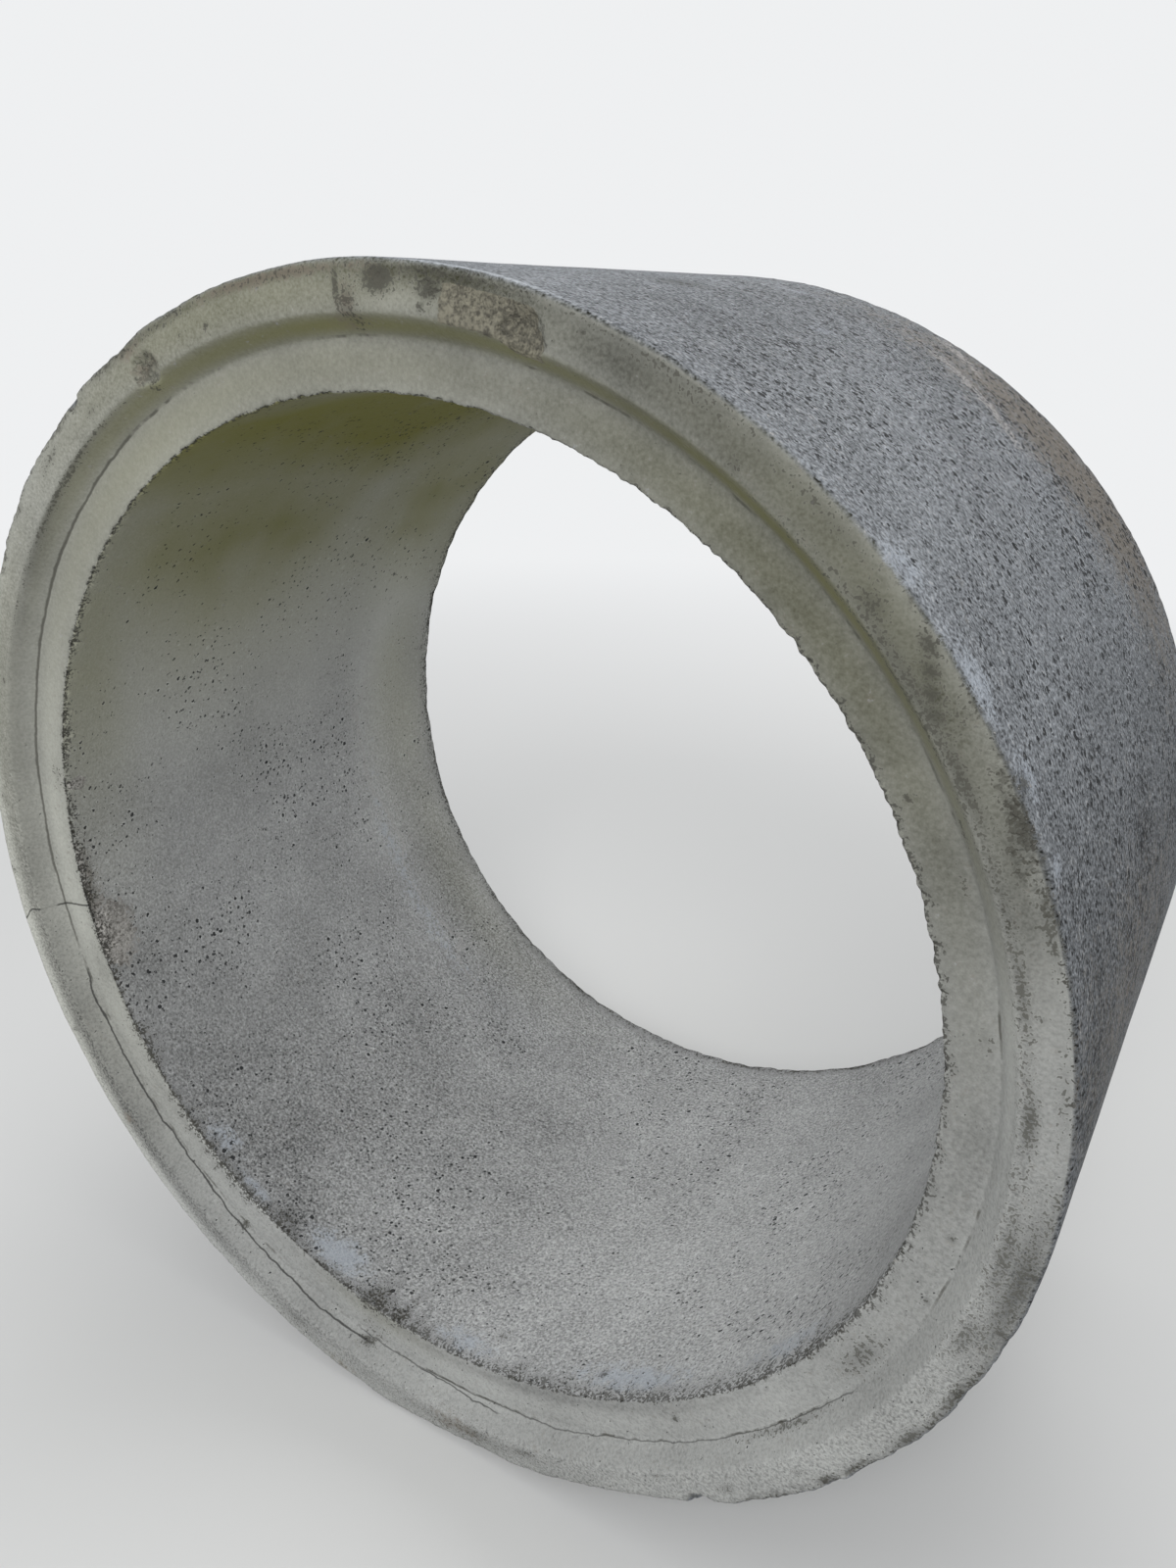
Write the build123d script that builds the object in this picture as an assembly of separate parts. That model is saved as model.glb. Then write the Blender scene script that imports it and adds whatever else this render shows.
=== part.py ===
from build123d import *
import math
import os

# A concrete drain pipe that lies on its side. Its axis runs along Y at the height of its
# outer radius, its socket opens towards -Y, and the origin is on the ground below its middle.

# Driving dimensions in millimetres
BORE_DIAMETER = 1500
WALL = 150
OVERALL_LENGTH = 1010

# The socket: a rebate in the bore side of the near end, narrowing from its mouth to its shoulder
SOCKET_RIM = 60
SOCKET_DEPTH = 36
SOCKET_TAPER = 25

# The tongue on the far end follows the socket's flank. When its nose meets the next pipe's
# shoulder, the flanks stand this far apart and the outer faces leave this joint open.
FLANK_CLEARANCE = 4
OUTER_JOINT_GAP = 6

# The bore swells inwards to a soft lip before the tongue's nose
LIP_RISE = 10
LIP_LENGTH = 130
LIP_BLEND_RADIUS = 400

# Edge radii, as the moulds leave them
NEAR_ARRIS_RADIUS = 15
FAR_ARRIS_RADIUS = 9
MOUTH_EDGE_RADIUS = 8
ROOT_RADIUS = 4
BORE_EDGE_RADIUS = 4
NOSE_RADIUS = 6

# The near arris is worn away over its lower right part. Clock angles run from +X towards +Z.
WORN_CLOCK_ANGLE = 288
WORN_HALF_ARC = 28
WORN_REACH = 16

# Broken spots on the near end face's outer arris and on the edge of the socket's mouth:
# clock angle, arc length, reach across the face and reach along the pipe
ARRIS_CHIPS = {
    "top_break": (80, 215, 57, 9),
    "right_spall": (24.5, 145, 34, 16),
    "upper_left_chip": (127, 48, 20, 12),
    "lower_notch": (305, 75, 24, 22),
}
MOUTH_CHIPS = {
    "top_break_tip": (75, 64, 40, 14),
    "upper_left_flake": (116, 52, 33, 12),
}

# Sizes that follow
bore_radius = BORE_DIAMETER / 2
outer_radius = bore_radius + WALL
mouth_radius = outer_radius - SOCKET_RIM
root_radius = mouth_radius - SOCKET_TAPER
tongue_length = SOCKET_DEPTH + OUTER_JOINT_GAP
flank_slope = SOCKET_TAPER / SOCKET_DEPTH
nose_radius = root_radius - FLANK_CLEARANCE
tongue_root_radius = nose_radius + tongue_length * flank_slope
near_y = -OVERALL_LENGTH / 2
far_y = OVERALL_LENGTH / 2
barrel_end_y = far_y - tongue_length


def pipe_profile():
    """The wall's section beside the axis: X is the radius and Y runs along the pipe."""
    corners = [
        (outer_radius, near_y, NEAR_ARRIS_RADIUS),
        (mouth_radius, near_y, MOUTH_EDGE_RADIUS),
        (root_radius, near_y + SOCKET_DEPTH, ROOT_RADIUS),
        (bore_radius, near_y + SOCKET_DEPTH, BORE_EDGE_RADIUS),
        (bore_radius, far_y - LIP_LENGTH, LIP_BLEND_RADIUS),
        (bore_radius - LIP_RISE, far_y, BORE_EDGE_RADIUS),
        (nose_radius, far_y, NOSE_RADIUS),
        (tongue_root_radius, barrel_end_y, ROOT_RADIUS),
        (outer_radius, barrel_end_y, FAR_ARRIS_RADIUS),
    ]
    outline = FilletPolyline(
        *[(radius, y) for radius, y, _ in corners],
        radius=[edge for _, _, edge in corners],
        close=True,
    )
    return make_face(outline)


def around_axis(shape, clock_angle):
    """Turns a shape made on the +X side of the pipe's axis to a clock angle."""
    return shape.rotate(Axis.Y, -clock_angle)


def chip_cutter(edge_radius, away, clock_angle, arc_length, face_reach, side_reach):
    """A ball that takes one dished flake off an edge of the near end face with the given
    three reaches. The face lies inwards of its arris, where away is 1, and outwards of the
    mouth's edge, where away is -1."""
    half_arc = arc_length / 2
    beyond_face = (half_arc**2 - face_reach**2) / (2 * face_reach)
    before_face = (half_arc**2 - side_reach**2) / (2 * side_reach)
    ball_radius = math.hypot(beyond_face, before_face, half_arc)
    centre = (edge_radius + away * beyond_face, near_y - before_face, 0)
    return around_axis(Pos(*centre) * Sphere(ball_radius), clock_angle)


def worn_edge_cutter():
    """A 45 degree chamfer about an offset axis, so that it is deepest at one clock angle and
    runs out where the arc ends."""
    offset = WORN_REACH / (1 - math.cos(math.radians(WORN_HALF_ARC)))
    face_radius = outer_radius - WORN_REACH + offset
    margin = 2 * NEAR_ARRIS_RADIUS
    depth = WORN_REACH + 2 * margin
    kept = Cone(face_radius - margin, face_radius - margin + depth, depth)
    blank = Cylinder(face_radius + depth, depth)
    ring = Rot(X=-90) * (blank - kept)
    return around_axis(Pos(-offset, near_y - margin + depth / 2, 0) * ring, WORN_CLOCK_ANGLE)


def pipe():
    """The whole pipe, cast in one piece, with its broken and worn near arris."""
    body = revolve(pipe_profile(), Axis.Y)
    for reaches in ARRIS_CHIPS.values():
        body -= chip_cutter(outer_radius, 1, *reaches)
    for reaches in MOUTH_CHIPS.values():
        body -= chip_cutter(mouth_radius, -1, *reaches)
    body -= worn_edge_cutter()
    return Pos(0, 0, outer_radius) * body


os.makedirs("parts", exist_ok=True)
export_step(pipe(), "parts/pipe.step")
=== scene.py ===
# %% [markdown]
# # A weathered concrete drain pipe
# The pipe was cast upright in a steel mould and has lain outdoors for years. The CAD model
# gives its true section and its broken edges. This lesson turns that clean form into old
# concrete: worn arrises, pits, stains and a broken rim. Everything is in metres, the pipe's
# axis runs along Y, and its socket opens towards the camera.

# %% Load the frame
import bpy
import math
import numpy as np
from mathutils import Matrix, Vector


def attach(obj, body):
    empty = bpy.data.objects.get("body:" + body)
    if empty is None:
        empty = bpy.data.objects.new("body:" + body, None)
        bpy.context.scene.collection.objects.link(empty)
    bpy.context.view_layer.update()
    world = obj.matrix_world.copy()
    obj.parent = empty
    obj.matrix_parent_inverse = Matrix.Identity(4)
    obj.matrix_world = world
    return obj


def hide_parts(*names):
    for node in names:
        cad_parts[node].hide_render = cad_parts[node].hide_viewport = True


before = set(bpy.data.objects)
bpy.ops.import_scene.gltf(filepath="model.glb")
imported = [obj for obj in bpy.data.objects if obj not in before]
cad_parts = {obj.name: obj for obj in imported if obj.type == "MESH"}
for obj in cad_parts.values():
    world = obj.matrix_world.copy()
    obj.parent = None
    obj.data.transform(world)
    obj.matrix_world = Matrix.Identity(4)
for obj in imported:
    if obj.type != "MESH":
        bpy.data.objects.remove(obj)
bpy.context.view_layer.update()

# %% [markdown]
# ## Camera
# The camera stands above the ground at eye height, a little to the right of the pipe's axis,
# and looks down to the left. Its place and angles come from the concentric edges of the
# pipe, whose ellipses can be seen from one place only.

# %% Camera
CAMERA_PLACE = (0.9748, -1.6063, 1.7590)
CAMERA_YAW = 31.052
CAMERA_PITCH = -22.208
CAMERA_ROLL = 0.797
LENS = 27.321

camera_data = bpy.data.cameras.new("camera")
camera_data.sensor_width = 36
camera_data.lens = LENS
camera = bpy.data.objects.new("camera", camera_data)
bpy.context.collection.objects.link(camera)
turned = (
    Matrix.Rotation(math.radians(CAMERA_YAW), 3, "Z")
    @ Matrix.Rotation(math.radians(90 + CAMERA_PITCH), 3, "X")
    @ Matrix.Rotation(math.radians(CAMERA_ROLL), 3, "Z")
)
camera.location = CAMERA_PLACE
camera.rotation_euler = turned.to_euler()
bpy.context.scene.camera = camera
print("camera height", CAMERA_PLACE[2])

# %% [markdown]
# ## The wall's section
# A turned form is one outline carried round an axis. The outline of this wall has nine
# corners, each with its own radius: the socket's rebate at the near end, a lip in the bore
# and the tongue at the far end. A corner becomes an arc that touches both of its sides, so
# the mesh has the same rounded edges as the casting.

# %% Sizes of the section
MM = 0.001
BORE_RADIUS = 750 * MM
OUTER_RADIUS = 900 * MM
MOUTH_RADIUS = 840 * MM
ROOT_RADIUS = 815 * MM
SOCKET_DEPTH = 36 * MM
NEAR_Y = -505 * MM
FAR_Y = 505 * MM
TONGUE_LENGTH = 42 * MM
FLANK_SLOPE = 25 / 36
BARREL_END_Y = FAR_Y - TONGUE_LENGTH
NOSE_RADIUS = 811 * MM
TONGUE_ROOT_RADIUS = NOSE_RADIUS + TONGUE_LENGTH * FLANK_SLOPE
LIP_RADIUS = 740 * MM
LIP_LENGTH = 130 * MM
AXIS_HEIGHT = OUTER_RADIUS

# Radius, y and edge radius
CORNERS = [
    (OUTER_RADIUS, NEAR_Y, 10 * MM),
    (MOUTH_RADIUS, NEAR_Y, 8 * MM),
    (ROOT_RADIUS, NEAR_Y + SOCKET_DEPTH, 4 * MM),
    (BORE_RADIUS, NEAR_Y + SOCKET_DEPTH, 4 * MM),
    (BORE_RADIUS, FAR_Y - LIP_LENGTH, 400 * MM),
    (LIP_RADIUS, FAR_Y, 4 * MM),
    (NOSE_RADIUS, FAR_Y, 6 * MM),
    (TONGUE_ROOT_RADIUS, BARREL_END_Y, 4 * MM),
    (OUTER_RADIUS, BARREL_END_Y, 9 * MM),
]

# %% Walk round the section
STEP = 0.25 * MM


def rounded_section(corners, step):
    """Radius, y and outward normal at places one step apart round a closed polygon.

    An arc of radius e that turns by t starts and ends e * tan(t / 2) from its corner. The
    outward normal is the heading turned left by a right angle."""
    at = np.array([corner[:2] for corner in corners])
    edge = np.array([corner[2] for corner in corners])
    onward = np.roll(at, -1, axis=0) - at
    heading = np.arctan2(onward[:, 1], onward[:, 0])
    earlier = np.roll(heading, 1)
    turn = (heading - earlier + np.pi) % (2 * np.pi) - np.pi
    reach = edge * np.tan(np.abs(turn) / 2)
    walked = []
    for i in range(len(at)):
        steps = max(3, round(edge[i] * abs(turn[i]) / step))
        facing = earlier[i] + turn[i] * np.linspace(0, 1, steps)
        outward = np.stack([-np.sin(facing), np.cos(facing)], 1)
        start = at[i] - reach[i] * np.array([np.cos(earlier[i]), np.sin(earlier[i])])
        arc = start + np.sign(turn[i]) * edge[i] * (outward[0] - outward)
        side = np.hypot(*onward[i])
        along = np.arange(reach[i], side - reach[(i + 1) % len(at)], step)[1:]
        straight = at[i] + along[:, None] * onward[i] / side
        walked.append(np.hstack([arc, outward]))
        walked.append(np.hstack([straight, np.tile(outward[-1], (len(along), 1))]))
    return np.vstack(walked)


section = rounded_section(CORNERS, STEP)
section_length = np.hypot(*np.diff(section[:, :2], axis=0).T).sum()
print("section", len(section), "places over", round(section_length, 3), "m")

# %% [markdown]
# ## Where the mesh needs its lines
# The near end carries the detail, so it gets twice as many places round the axis as the
# rest. Along the section, lines crowd at the corners and spread out between them. A spacing
# that grows with the distance to the nearest corner does that, and its running sum says
# where each line goes.

# %% Choose the lines
FINE_TURNS = 1200
COARSE_TURNS = 600
NEAR_BARREL = 32 * MM
NEAR_BORE = 34 * MM
SHARPEST_BLEND = 100 * MM
STRAIGHT_OUT = 0.999
SHARP_CORNERS = np.array([corner[:2] for corner in CORNERS if corner[2] < SHARPEST_BLEND])


def choose_lines(path, finest, growth, coarsest, keep_ends):
    """Picks places along a path whose spacing is finest + growth * distance to a corner."""
    gaps = np.hypot(*np.diff(path[:, :2], axis=0).T)
    apart = np.linalg.norm(path[:, None, :2] - SHARP_CORNERS, axis=2).min(axis=1)
    spacing = np.minimum(finest + growth * apart, coarsest)
    count = np.concatenate([[0], np.cumsum(gaps / spacing[1:])])
    wanted = np.linspace(0, count[-1], round(count[-1]) + 1)
    if not keep_ends:
        wanted = wanted[1:-1]
    return np.stack([np.interp(wanted, count, column) for column in path.T], 1)


barrel_part = section[:, 2] > STRAIGHT_OUT
start = np.argmin(np.where(barrel_part, np.abs(section[:, 1] - NEAR_Y - NEAR_BARREL), np.inf))
section = np.roll(section, -start, axis=0)
bore_part = section[:, 2] < -STRAIGHT_OUT
bore_stop = NEAR_Y + SOCKET_DEPTH + NEAR_BORE
stop = np.argmin(np.where(bore_part, np.abs(section[:, 1] - bore_stop), np.inf))
fine_lines = choose_lines(
    section[: stop + 1], finest=2.8 * MM, growth=0.16, coarsest=6.5 * MM, keep_ends=True
)
coarse_lines = choose_lines(
    section[stop:], finest=6 * MM, growth=0.24, coarsest=80 * MM, keep_ends=False
)
triangles = 2 * (len(fine_lines) * FINE_TURNS + len(coarse_lines) * COARSE_TURNS)
print("lines", len(fine_lines), len(coarse_lines), "triangles", triangles)

# %% [markdown]
# ## Carry the section round the axis
# Every vertex is a line of the section at a clock angle, which runs from +X towards +Z as
# seen from the socket end. Two fine steps meet one coarse step in a five-sided face, so the
# two densities join without a gap.

# %% Sweep
def sweep(lines, turns):
    """Section places at equal clock angles: columns of radius, y, normals and angle."""
    clock = np.arange(turns) * 2 * np.pi / turns
    repeated = np.repeat(lines, turns, axis=0)
    return np.hstack([repeated, np.tile(clock, len(lines))[:, None]])


swept = np.vstack([sweep(fine_lines, FINE_TURNS), sweep(coarse_lines, COARSE_TURNS)])
section_radius, section_y, normal_radial, normal_y, clock = swept.T
around = np.stack([np.cos(clock), np.zeros(len(clock)), np.sin(clock)], 1)
points = section_radius[:, None] * around
points[:, 1] = section_y
outward = normal_radial[:, None] * around
outward[:, 1] = normal_y
print("vertices", len(points))

# %% [markdown]
# ## Noise that can be repeated
# Old concrete is uneven at every size. Lumps come from random numbers at the corners of a
# lattice of cubes, blended inside each cube. Stones come from one random point per cube and
# the distance to the nearest of them. The random numbers are worked out from the cube's own
# coordinates, so the pipe is the same on every run.

# %% Lattice noise
# Large odd numbers that spread neighbouring cells and seeds far apart
CELL_FACTORS = (73856093, 19349663, 83492791)
SEED_FACTOR = 747796405
MIXING = ((15, 2246822519), (13, 3266489917))
LOW_BITS = 0xFFFFFFFF


def chance(cells, seed):
    """A number from 0 to 1 for each cell of whole numbers, mixed by multiplying and XOR."""
    mixed = np.uint32(seed * SEED_FACTOR & LOW_BITS)
    for axis, factor in enumerate(CELL_FACTORS):
        mixed = mixed ^ (cells[..., axis] & LOW_BITS).astype(np.uint32) * np.uint32(factor)
    for shift, factor in MIXING:
        mixed ^= mixed >> np.uint32(shift)
        mixed = mixed * np.uint32(factor)
    mixed ^= mixed >> np.uint32(16)
    return mixed / 2**32


def lumps(places, size, seed):
    """Smooth noise from -1 to 1: corner values blended with 3t^2 - 2t^3 along each axis."""
    cell = np.floor(places / size).astype(np.int64)
    share = places / size - cell
    share = share * share * (3 - 2 * share)
    total = 0
    for corner in np.ndindex(2, 2, 2):
        weight = np.where(corner, share, 1 - share).prod(axis=-1)
        total = total + weight * chance(cell + corner, seed)
    return 2 * total - 1


def stones(places, size, seed):
    """Rounded grains: 1 at a grain's middle, falling with the square of the distance."""
    cell = np.floor(places / size).astype(np.int64)
    nearest = np.full(len(places), np.inf)
    for neighbour in np.ndindex(3, 3, 3):
        other = cell + neighbour - 1
        middle = np.stack([chance(other, seed + i) for i in range(3)], -1) + other
        nearest = np.minimum(nearest, ((places / size - middle) ** 2).sum(axis=-1))
    return 1 - np.clip(nearest, 0, 1)


def smooth_step(low, high, value):
    """0 below low, 1 above high and 3t^2 - 2t^3 between them."""
    t = np.clip((value - low) / (high - low), 0, 1)
    return t * t * (3 - 2 * t)


def clock_gap(middle):
    """Degrees from a clock angle, between -180 and 180."""
    return (np.degrees(clock) - middle + 180) % 360 - 180


def arc_window(middle, half_arc):
    """1 at a clock angle, smoothly down to 0 at half an arc on either side."""
    return smooth_step(half_arc, 0.3 * half_arc, np.abs(clock_gap(middle)))


print("lumps span", lumps(points, 0.05, 1).min().round(2), lumps(points, 0.05, 1).max().round(2))

# %% [markdown]
# ## Places on the pipe
# Wear, dirt, painted light and painted shade belong to places. A place is a surface, a clock
# angle and either a radius on the end face or a depth behind it. A row of a list spreads a soft
# spot there, and the rows of a list are joined by taking the strongest or by adding up.

# %% Soft spots
BEHIND = section_y - NEAR_Y
ON_FACE = (BEHIND < 60 * MM) & (section_radius < 899 * MM) & (normal_radial > -0.9)
ON_BARREL = (normal_radial > 0.6) & (section_radius > 0.88)
IN_BORE = (normal_radial < -0.6) & (section_radius < 0.76)


def spots(rows, join=np.maximum):
    """Joins bell-shaped spots. A row has the surface, the clock angle, the radius on the face
    or else the depth behind it, half the arc and half the width in metres, and the strength."""
    total = np.zeros(len(points))
    for where, middle, place, half_arc, half_width, strength in rows:
        across = section_radius if where is ON_FACE else BEHIND
        along = np.radians(clock_gap(middle)) * section_radius
        reach = ((across - place) / half_width) ** 2 + (along / half_arc) ** 2
        total = join(total, where * strength * np.exp(-reach))
    return total


def edge_distance(radius, y):
    """Distance in the section from a corner to every vertex."""
    return np.hypot(section_radius - radius, section_y - y)


def near_edge(distance, width):
    """1 on an edge, falling as exp(-(distance / width)^2)."""
    return np.exp(-((distance / width) ** 2))


near_arris = edge_distance(OUTER_RADIUS, NEAR_Y)
mouth_edge = edge_distance(MOUTH_RADIUS, NEAR_Y)
bore_edge = edge_distance(BORE_RADIUS, NEAR_Y + SOCKET_DEPTH)
far_arris = edge_distance(OUTER_RADIUS, BARREL_END_Y)
far_bore_edge = edge_distance(LIP_RADIUS, FAR_Y)
nose_edge = edge_distance(NOSE_RADIUS, FAR_Y)
print("near end vertices", int((near_arris < 0.16).sum()))

# %% [markdown]
# ## Worn and uneven surfaces
# The mould leaves long soft waves, the stripping of the mould tears the arrises, and years of
# handling round them off. Each of these presses the surface inwards along its normal, never
# outwards, so the pipe keeps its size. What lies deep in the rough places is kept as a mark,
# because dirt settles there.

# %% Press the surface in
LEAST_WEAR = 0.2
# Clock angle, half the arc in degrees and amount
ARRIS_WEAR = [(140, 50, 1.1), (20, 30, 0.9), (330, 26, 1.0), (225, 45, 0.2), (52, 22, 0.3), (290, 40, 0.7)]
# Clock angle, then in millimetres how far the torn bore edge reaches into the bore and across the shoulder
FRINGE_REACH = np.array([
    (0, 12, 9), (30, 10, 9), (50, 8, 6), (75, 5, 2), (100, 6, 3), (125, 7, 3), (150, 10, 4), (178, 16, 4),
    (190, 16, 6), (196, 18, 6), (201, 14, 4), (204, 9, 4), (208, 12, 12), (212, 22, 9), (216, 10, 9),
    (224, 14, 18), (238, 16, 17), (243, 26, 5), (247, 13, 3), (256, 14, 5), (260, 38, 12), (264, 34, 9),
    (269, 18, 3), (285, 22, 3), (300, 28, 3), (325, 34, 4), (338, 26, 13), (350, 14, 10), (360, 12, 9),
])
TORN_SKIN = [
    (ON_FACE, 12, 0.848, 0.330, 0.012, 1.0),
    (ON_FACE, 35, 0.866, 0.040, 0.026, 0.7),
    (ON_FACE, 26, 0.884, 0.090, 0.016, 0.9),
    (ON_FACE, 344, 0.858, 0.060, 0.020, 0.6),
    (ON_FACE, 352, 0.862, 0.030, 0.014, 0.6),
    (ON_FACE, 88, 0.880, 0.080, 0.016, 0.8),
    (ON_FACE, 78.5, 0.868, 0.070, 0.028, 1.0),
    (IN_BORE, 190, 0.046, 0.150, 0.022, 1.6),
    (IN_BORE, 196, 0.068, 0.060, 0.026, 1.5),
    (IN_BORE, 261, 0.058, 0.060, 0.016, 1.2),
]

arris_wear = LEAST_WEAR + sum(arc_window(middle, half) * amount for middle, half, amount in ARRIS_WEAR)
clock_degrees = np.degrees(clock)
bore_reach, shoulder_reach = (
    np.interp(clock_degrees, FRINGE_REACH[:, 0], reach) * MM for reach in FRINGE_REACH[:, 1:].T
)
torn_skin = spots(TORN_SKIN)
broad = 0.6 * MM * (1 + lumps(points, 0.24, 11)) + 0.35 * MM * (1 + lumps(points, 0.055, 12))
hummocks = np.clip(lumps(points, 0.046, 13) + 0.35, 0, 1)
grains = 1 - stones(points, 0.014, 14)
crumbs = 1 - stones(points, 0.011, 15)
pebbles = 1 - stones(points, 0.026, 16)

round_edge = np.stack([np.cos(clock), np.sin(clock), 0 * clock], 1) * BORE_RADIUS
tufts = np.clip(0.35 + lumps(round_edge, 0.009, 17) + 0.1 * lumps(round_edge, 0.035, 18), 0, 1.4)
tuft_reach = np.where(IN_BORE, bore_reach, shoulder_reach) * (0.8 + 0.7 * tufts)
torn_fringe = np.exp(-((bore_edge / tuft_reach) ** 2))

tearing = near_edge(near_arris, 0.020) * arris_wear * (3.8 * MM * hummocks + 2.6 * MM * grains)
tearing += near_edge(mouth_edge, 0.009) * (0.8 * MM * hummocks + 1.0 * MM * crumbs)
tearing += near_edge(bore_edge, 0.010) * (0.4 * MM * hummocks + 2.6 * MM * crumbs)
tearing += torn_fringe * (2.4 * MM * tufts + 2.6 * MM * crumbs)
tearing += near_edge(bore_edge, 0.010) * arc_window(217, 24) * 4 * MM
tearing += near_edge(far_arris, 0.022) * (0.8 * MM * hummocks + 2.6 * MM * grains)
tearing += near_edge(far_bore_edge, 0.018) * (3 * MM * hummocks + 7 * MM * pebbles)
tearing += near_edge(nose_edge, 0.012) * (2 * MM * hummocks + 3 * MM * grains)
tearing += torn_skin * (3.0 * MM * crumbs + 1.0 * MM * hummocks)
points = points - (broad + tearing)[:, None] * outward
hollow = smooth_step(0.8 * MM, 3.6 * MM, tearing)
print("pressed in by up to", ((broad + tearing).max() / MM).round(1), "mm")

# %% [markdown]
# ## Broken spots
# A knock on an edge takes off a shallow dish with a rough, stony floor. A ball that stands
# outside the pipe cuts such a dish, and its three reaches follow from where it meets the
# edge. A vertex inside the ball is pushed straight away from the ball's middle. The ball's
# radius is made uneven by stones and slanting ridges, so that the floor and the rim of the
# dish are rough.

# %% Knock off the chips
# Edge, clock angle, arc length, reach across the end face, reach along the pipe, brown floor
ARRIS = (OUTER_RADIUS, 1)
MOUTH = (MOUTH_RADIUS, -1)
CHIPS = {
    "top_break": (ARRIS, 80, 215, 57, 9, 0.0),
    "right_spall": (ARRIS, 24.5, 145, 34, 16, 0.1),
    "upper_left_chip": (ARRIS, 127, 48, 20, 12, 0.15),
    "lower_notch": (ARRIS, 305, 75, 24, 22, 0.0),
    "top_break_tip": (MOUTH, 75, 64, 40, 14, 0.0),
    "upper_left_flake": (MOUTH, 116, 52, 33, 12, 0.0),
    "beside_break": (ARRIS, 88.5, 120, 26, 5, 0.0),
}
slanting = np.stack([np.degrees(clock) * 0.6 + section_radius * 40, section_radius * 12, section_y * 0], 1)
ridges = 1 - np.abs(lumps(slanting, 1.1, 23))
rough_floor = 1.3 * MM * (1 - stones(points, 0.013, 21)) + 1.4 * MM * (1 + lumps(points, 0.009, 22))
rough_floor = rough_floor + 2.0 * MM * (1 - ridges**3)
broken = np.zeros(len(points))
brown_floor = np.zeros(len(points))
for (edge_radius, side), middle, arc, face, barrel, brown in CHIPS.values():
    half, face, barrel = arc / 2 * MM, face * MM, barrel * MM
    beyond = (half**2 - face**2) / (2 * face)
    before = (half**2 - barrel**2) / (2 * barrel)
    ball_radius = math.hypot(beyond, before, half)
    angle = math.radians(middle)
    out = edge_radius + side * beyond
    ball = np.array([out * math.cos(angle), NEAR_Y - before, out * math.sin(angle)])
    away = points - ball
    distance = np.linalg.norm(away, axis=1)
    cut = np.clip(ball_radius + rough_floor - 2 * MM - distance, 0, None)
    points = points + away * (cut / distance)[:, None]
    broken = np.maximum(broken, smooth_step(0.5 * MM, 2.5 * MM, cut))
    brown_floor = np.maximum(brown_floor, brown * smooth_step(0.3 * MM, 1.5 * MM, cut))
hollow = np.maximum(hollow, broken * smooth_step(1 * MM, 4.5 * MM, rough_floor))
print("broken vertices", int((broken > 0.5).sum()))

# %% Wear away the lower arris
WORN_CLOCK_ANGLE = 288
WORN_HALF_ARC = 28
WORN_REACH = 16 * MM
shift = WORN_REACH / (1 - math.cos(math.radians(WORN_HALF_ARC)))
worn_angle = math.radians(WORN_CLOCK_ANGLE)
worn_axis = -shift * np.array([math.cos(worn_angle), 0, math.sin(worn_angle)])
beside = (points - worn_axis) * (1, 0, 1)
beside_length = np.linalg.norm(beside, axis=1)
cone_radius = OUTER_RADIUS - WORN_REACH + shift + points[:, 1] - NEAR_Y
worn_cut = (beside_length - cone_radius) / math.sqrt(2) + 0.4 * rough_floor - 1 * MM
deeper = 4 * MM * arc_window(274, 9) + 2.5 * MM * arc_window(300, 12) - 2 * MM * arc_window(284, 5)
worn_cut = np.clip(worn_cut + deeper * (near_arris < 0.03), 0, None)
worn_cut = worn_cut * (near_arris < 0.06) * arc_window(WORN_CLOCK_ANGLE, 60)
inwards = -beside / beside_length[:, None] + (0, 1, 0)
points = points + inwards * (worn_cut / math.sqrt(2))[:, None]
worn = smooth_step(1 * MM, 5 * MM, worn_cut)
print("worn vertices", int((worn > 0.5).sum()))

# %% [markdown]
# ## Build the mesh
# The vertices sit ring by ring, so the faces are simple sums of ring and step numbers. The
# volume inside the closed surface, from the sum of its corners' triple products, is printed; it
# is positive when the faces point outwards.

# %% Faces
def ring_quads(first, rings, turns):
    """Four-sided faces between neighbouring rings, wound so that they face outwards."""
    ring, step = np.meshgrid(np.arange(rings - 1), np.arange(turns), indexing="ij")
    near = first + ring * turns
    onward = (step + 1) % turns
    corners = [near + step, near + onward, near + turns + onward, near + turns + step]
    return np.stack(corners, -1).reshape(-1, 4)


def joining_faces(fine, coarse, flip):
    """Five-sided faces from two steps of a fine ring to one step of a coarse ring."""
    step = np.arange(COARSE_TURNS)
    onward = (step + 1) % COARSE_TURNS
    corners = [fine + 2 * step, fine + 2 * step + 1, fine + 2 * onward, coarse + onward, coarse + step]
    return np.stack(corners[::-1] if flip else corners, -1)


fine_count = len(fine_lines) * FINE_TURNS
last_coarse = fine_count + (len(coarse_lines) - 1) * COARSE_TURNS
faces = (
    ring_quads(0, len(fine_lines), FINE_TURNS).tolist()
    + ring_quads(fine_count, len(coarse_lines), COARSE_TURNS).tolist()
    + joining_faces(fine_count - FINE_TURNS, fine_count, False).tolist()
    + joining_faces(0, last_coarse, True).tolist()
)
standing = points + (0, 0, AXIS_HEIGHT)
mesh = bpy.data.meshes.new("cast_pipe")
mesh.from_pydata(standing, [], faces)
mesh.validate()
mesh.shade_smooth()
pipe = bpy.data.objects.new("cast_pipe", mesh)
bpy.context.collection.objects.link(pipe)


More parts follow.
